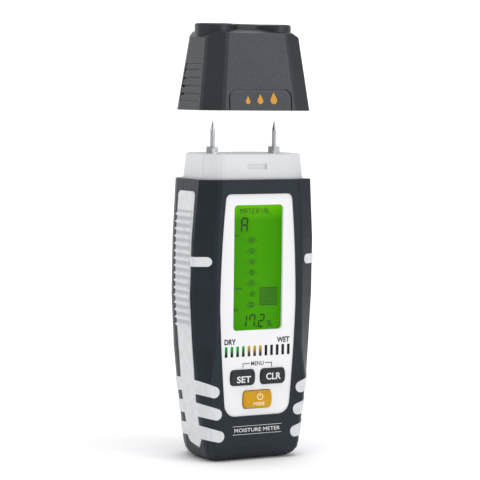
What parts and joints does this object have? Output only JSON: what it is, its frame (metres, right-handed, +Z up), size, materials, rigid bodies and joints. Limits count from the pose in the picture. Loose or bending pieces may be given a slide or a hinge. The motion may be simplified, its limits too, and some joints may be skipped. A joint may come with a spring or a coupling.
{
  "type": "pin moisture meter",
  "caption": "Handheld pin moisture meter with lit display, light-bar scale, keys, soft side grips, measuring pins and a lift-off protective cap.",
  "frame": {"origin": "middle of the flat base that the meter stands on", "axes": "+Z up the meter to its pins, display faces -Y, +X to the user's right"},
  "size_m": [0.0608, 0.0358, 0.1851],
  "materials": {
    "shell_plastic": "fine spark-eroded texture, dark grey",
    "cap_plastic": "spark-eroded texture, dark grey",
    "grip_rubber": "soft light grey grip",
    "panel_plastic": "satin white",
    "head_plastic": "satin pale grey",
    "clear_window": "polished clear acrylic",
    "lcd_glass": "polarised display glass",
    "backlight_plastic": "lit green diffuser",
    "frame_plastic": "white",
    "contact_elastomer": "striped elastomer",
    "green_lens": "lit green lens",
    "amber_lens": "lit amber lens",
    "dark_lens": "unlit lens",
    "black_plastic": "black",
    "led_package": "white LED package",
    "key_rubber": "satin dark grey",
    "mode_rubber": "satin amber",
    "board_laminate": "green solder mask",
    "electronics": "black moulded packages",
    "steel": "polished nickel-plated steel",
    "brass": "turned brass",
    "cell_wrap": "printed cell sleeve",
    "label_film": "blank silver film",
    "lead_sleeve": "red insulated lead",
    "door_plastic": "fine spark-eroded texture, dark grey"
  },
  "bodies": {
    "case": {"front_shell": "shell_plastic", "rear_shell": "shell_plastic", "left_grip": "grip_rubber", "right_grip": "grip_rubber", "face_panel": "panel_plastic", "display_window": "clear_window", "green_bars": "green_lens", "amber_bars": "amber_lens", "dark_bars": "dark_lens", "led_baffle": "black_plastic", "led_chips": "led_package", "switch_bodies": "black_plastic", "lcd_front_glass": "lcd_glass", "lcd_rear_glass": "lcd_glass", "backlight": "backlight_plastic", "contact_strip": "contact_elastomer", "lcd_frame": "frame_plastic", "circuit_board": "board_laminate", "controller_chip": "electronics", "buzzer": "electronics", "capacitors": "electronics", "chip_resistors": "electronics", "sensor_head": "head_plastic", "socket_left": "brass", "socket_right": "brass", "lead_left": "lead_sleeve", "lead_right": "lead_sleeve", "battery_left": "cell_wrap", "battery_right": "cell_wrap", "battery_springs": "steel", "battery_contacts": "steel", "housing_screws": "steel", "rating_label": "label_film"},
    "cap": {"cap_shell": "cap_plastic", "test_contact_left": "brass", "test_contact_right": "brass", "test_resistor": "electronics"},
    "set_key": {"key_set": "key_rubber", "plunger_set": "black_plastic"},
    "clr_key": {"key_clr": "key_rubber", "plunger_clr": "black_plastic"},
    "mode_key": {"key_mode": "mode_rubber", "plunger_mode": "black_plastic"},
    "door": {"battery_door": "door_plastic"},
    "left_needle": {"needle_left": "steel"},
    "left_nut": {"nut_left": "steel"},
    "right_needle": {"needle_right": "steel"},
    "right_nut": {"nut_right": "steel"}
  },
  "joints": [
    {"name": "cap_slide", "type": "slide", "parent": "case", "child": "cap", "axis": [0, 0, 1], "range_m": [-0.029, 0]},
    {"name": "set_press", "type": "slide", "parent": "case", "child": "set_key", "axis": [0, 1, 0], "range_m": [0, 0.0006], "stiffness_N_per_m": 2500},
    {"name": "clr_press", "type": "slide", "parent": "case", "child": "clr_key", "axis": [0, 1, 0], "range_m": [0, 0.0006], "stiffness_N_per_m": 2500},
    {"name": "mode_press", "type": "slide", "parent": "case", "child": "mode_key", "axis": [0, 1, 0], "range_m": [0, 0.0006], "stiffness_N_per_m": 2500},
    {"name": "door_hinge", "type": "hinge", "parent": "case", "child": "door", "pos_m": [0, 0.017, 0.0244], "axis": [-1, 0, 0], "range_deg": [0, 75]},
    {"name": "left_needle_lift", "type": "slide", "parent": "case", "child": "left_needle", "axis": [0, 0, 1], "range_m": [0, 0.0063]},
    {"name": "left_nut_turn", "type": "hinge", "parent": "left_needle", "child": "left_nut", "pos_m": [-0.0152, -0.0029, 0.1303], "axis": [0, 0, 1], "range_deg": [0, 3241]},
    {"name": "right_needle_lift", "type": "slide", "parent": "case", "child": "right_needle", "axis": [0, 0, 1], "range_m": [0, 0.0063]},
    {"name": "right_nut_turn", "type": "hinge", "parent": "right_needle", "child": "right_nut", "pos_m": [0.0152, -0.0029, 0.1303], "axis": [0, 0, 1], "range_deg": [0, 3241]}
  ],
  "couplings": [
    {"joint": "left_nut_turn", "follows": "left_needle_lift", "rad_per_m": 8976},
    {"joint": "right_nut_turn", "follows": "right_needle_lift", "rad_per_m": 8976}
  ]
}
